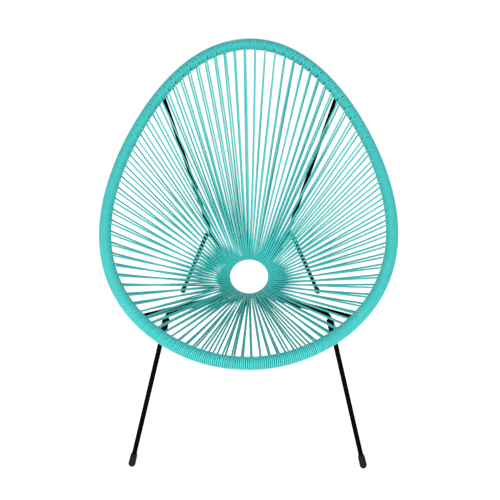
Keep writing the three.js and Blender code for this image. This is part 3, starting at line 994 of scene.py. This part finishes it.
def winding(start, end, joint):
    """Points of the helix from one (reach, angle, slant) to the next, as (place, swept) pairs."""
    (reach_a, angle_a, slant_a), (reach_b, angle_b, slant_b) = start, end
    wanted = (reach_b - reach_a) / CORD_DIAMETER * tau
    base = (angle_b - angle_a) % tau
    sweep = base + tau * max(round((wanted - base) / tau - ROUND_DOWN), 0)
    pitch = (reach_b - reach_a) / sweep
    steps = ceil(sweep / tau * POINTS_PER_TURN)
    middle = weld_reach = None
    if joint is not None:
        weld_reach = hoop_reach(joint)
        middle = sweep * (weld_reach - reach_a) / (reach_b - reach_a)
    points = []
    for i in range(1, steps):
        swept = sweep * i / steps
        reach = reach_a + pitch * swept
        reach += still_slanting(slant_a - pitch, swept)
        reach -= still_slanting(slant_b - pitch, sweep - swept)
        if middle is not None:
            ramp = min(max((swept - middle) / tau + 0.5, 0), 1)
            reach += SLIT * (ramp - swept / sweep)
        angle = angle_a + swept
        if joint in weld_rods:
            reach += weld_push(angle, reach, weld_reach, joint)
        centre, onward, outward, upward = hoop_at(reach)
        points.append((centre + WIND_RADIUS * (outward * cos(angle) + upward * sin(angle)), swept))
    return points, middle


print("points to a turn of the winding:", POINTS_PER_TURN)

# %% [markdown]
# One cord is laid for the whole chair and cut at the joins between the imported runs, on the
# underside where a cut doesn't show. Each stretch is then a piece of its own that stands for its
# packed run.

# %% Runs of cord
ZONES = [("front", FRONT_PAIRS, 2), ("side", SIDE_PAIRS, 4), ("back", BACK_PAIRS, 2)]


def split_evenly(pairs, parts):
    return [(i + 1) * pairs // parts - i * pairs // parts for i in range(parts)]


half_runs = []
for zone, zone_pairs, zone_runs in ZONES:
    for i, count in enumerate(split_evenly(zone_pairs, zone_runs)):
        half_runs.append((f"{zone}_cord_{i + 1}", count))
runs = []
for side_name, order in (("right", half_runs), ("left", half_runs[::-1])):
    for place, count in order:
        first = runs[-1][2] if runs else 0
        runs.append((f"{side_name}_{place}", first, first + count))

joints = {first for _, first, _ in runs}
run_of_cell = {cell: name for name, first, last in runs for cell in range(first, last)}
print("packed runs of cord:", len(runs))

# %% [markdown]
# Each cell's pair is worked out by itself: the strand down, the turn and the strand back. Where the
# cord is pressed against steel it is as thick as it is wound, and a free strand is a fifth fuller,
# so each point carries how full the cord is there. The two ends on the hoop lie half a cord's width
# apart.

# %% Hang the pairs
HALF_STEP = CORD_DIAMETER / 4


def pressed(points):
    return [(place, 1.0) for place in points]


def free(points):
    return [(place, FREE_FULLNESS) for place in points]


pairs = []
for cell in range(cell_count):
    middle_cell = cell + 0.5
    reach = hoop_reach(middle_cell)
    over = tangent_ends(reach - HALF_STEP, middle_cell, 1)
    under = tangent_ends(reach + HALF_STEP, middle_cell, -1)
    going = hanging(over[0], over[1], loose.uniform(-STRAND_BOW, STRAND_BOW))
    coming = hanging(under[1], under[0], loose.uniform(-STRAND_BOW, STRAND_BOW))
    route = pressed([over[0]]) + free(going)
    route += pressed(ring_turn(middle_cell, over[1], under[1]))
    route += free(coming) + pressed([under[0]])
    leave = (reach - HALF_STEP, over[2], over[3])
    come_back = (reach + HALF_STEP, under[2], under[3])
    pairs.append((route, leave, come_back))
print("pairs of strands:", len(pairs))

# %% [markdown]
# Now the pairs are joined by the winding between them. At a join the winding is cut at its lowest
# point within half a turn, and what follows the cut becomes the head of the next run.

# %% Lay the cord
CORD_SIDES = 8

stretches = {name: [] for name, _, _ in runs}
tails = []
for cell in range(cell_count):
    route, leave, come_back = pairs[cell]
    name = run_of_cell[cell]
    stretches[name] += route
    following = (cell + 1) % cell_count
    next_leave = pairs[following][1]
    if following == 0:
        next_leave = (next_leave[0] + hoop_length, *next_leave[1:])
    joint = cell + 1 if following in joints else None
    points, middle = winding(come_back, next_leave, joint)
    if joint is None:
        stretches[name] += pressed(place for place, _ in points)
        continue
    near = [i for i, (_, swept) in enumerate(points) if abs(swept - middle) < pi]
    cut = min(near, key=lambda i: points[i][0].z)
    stretches[name] += pressed(place for place, _ in points[: cut + 1])
    tails.append((run_of_cell[following], pressed(place for place, _ in points[cut + 1 :])))
for name, tail in tails:
    stretches[name] = tail + stretches[name]

length = 0.0
for name, stretch in stretches.items():
    places = [place for place, _ in stretch]
    fullness = [full for _, full in stretch]
    laid = wire(
        name + "_wound",
        places,
        CORD_DIAMETER / 2,
        CORD_SIDES,
        cord_vinyl,
        "cord",
        fullness=fullness,
    )
    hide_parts(name)
    length += sum((after - before).length for before, after in zip(places, places[1:]))
print("cord in all:", round(length, 1), "m in", len(stretches), "stretches")

# %% [markdown]
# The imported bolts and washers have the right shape, so they stay and get the dark steel. The other
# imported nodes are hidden, because other pieces stand for them. They get a finish too, so that none
# is left bare.

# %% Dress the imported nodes
NODE_FINISHES = {"bolt": bolt_steel, "washer": bolt_steel, "foot": cap_rubber}

for name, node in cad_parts.items():
    matches = [finish_of for word, finish_of in NODE_FINISHES.items() if word in name]
    node.data.materials.clear()
    node.data.materials.append(matches[0] if matches else frame_black)
print("packed nodes dressed:", len(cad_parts))

# %% [markdown]
# The photograph is cut out on white and shows no shadow. So the stage is a wide pale floor in a
# white world. The floor has to look white without flooding the chair with light, and the Light Path
# node tells a look from light: the floor glows only where the camera, a reflection or a glass looks
# at it.

# %% Floor
FLOOR_SIDE = 16
FLOOR_LIFT = 0.7
FLOOR_PAINT = (0.88, 0.88, 0.88, 1)
FLOOR_ROUGHNESS = 0.9
FLOOR_SPECULAR = 0.1
WHITE = (1, 1, 1, 1)


def shown_directly(tree):
    """1 where the camera, a reflection or a glass looks at a surface, and 0 for other light."""
    rays = tree.nodes.new("ShaderNodeLightPath").outputs
    mirrored = math_node(tree, "MAXIMUM", rays["Is Glossy Ray"], rays["Is Transmission Ray"])
    return math_node(tree, "MAXIMUM", rays["Is Camera Ray"], mirrored)


floor_mesh = bmesh.new()
bmesh.ops.create_grid(floor_mesh, x_segments=2, y_segments=2, size=FLOOR_SIDE / 2)
floor_data = bpy.data.meshes.new("floor")
floor_mesh.to_mesh(floor_data)
floor_mesh.free()
floor = bpy.data.objects.new("floor", floor_data)
bpy.context.collection.objects.link(floor)
pale = bpy.data.materials.new("floor_pale")
pale.use_nodes = True
paint = pale.node_tree
paper = paint.nodes["Principled BSDF"]
paper.inputs["Base Color"].default_value = FLOOR_PAINT
paper.inputs["Roughness"].default_value = FLOOR_ROUGHNESS
paper.inputs["Specular IOR Level"].default_value = FLOOR_SPECULAR
paper.inputs["Emission Color"].default_value = WHITE
glow = math_node(paint, "MULTIPLY", shown_directly(paint), FLOOR_LIFT)
paint.links.new(glow, paper.inputs["Emission Strength"])
floor_data.materials.append(pale)
print("floor:", FLOOR_SIDE, "m square")

# %% [markdown]
# The world is the soft light of the studio. It comes from all sides, so it makes no shadow of its
# own and shapes nothing: too much of it would leave the strands flat. It therefore lights the chair
# with a little over a third of its white, and shows all of its white only where it is looked at.

# %% World
WORLD_LIGHT = 0.36

world = bpy.data.worlds.new("studio")
bpy.context.scene.world = world
world.use_nodes = True
sky = world.node_tree
beyond_light = math_node(sky, "MULTIPLY", shown_directly(sky), 1 - WORLD_LIGHT)
strength = math_node(sky, "ADD", beyond_light, WORLD_LIGHT)
sky.links.new(strength, sky.nodes["Background"].inputs["Strength"])
sky.nodes["Background"].inputs["Color"].default_value = WHITE
print("world lights the chair with", WORLD_LIGHT, "of its white")

# %% [markdown]
# Two lamps make the shape readable. The key stands low in front, because the photograph's rim is
# bright along the middle of its front and its strands are shaded towards the ring. The fill is
# weaker, larger and higher, on the other side. Standard as the view transform shows a colour about
# as it is written.

# %% Lamps
LAMP_AIM = Vector((0, 0, 0.45))


def lamp(name, place, size, power):
    light = bpy.data.lights.new(name, "AREA")
    light.shape = "SQUARE"
    light.size = size
    light.energy = power
    holder = bpy.data.objects.new(name, light)
    holder.location = place
    holder.rotation_euler = (LAMP_AIM - Vector(place)).to_track_quat("-Z", "Y").to_euler()
    bpy.context.collection.objects.link(holder)


lamp("key", (-0.7, -3.3, 1.6), size=1.0, power=82)
lamp("fill", (2.2, -2.2, 2.6), size=1.6, power=22)
bpy.context.scene.view_settings.view_transform = "Standard"
print("lamps:", [light.name for light in bpy.data.lights])
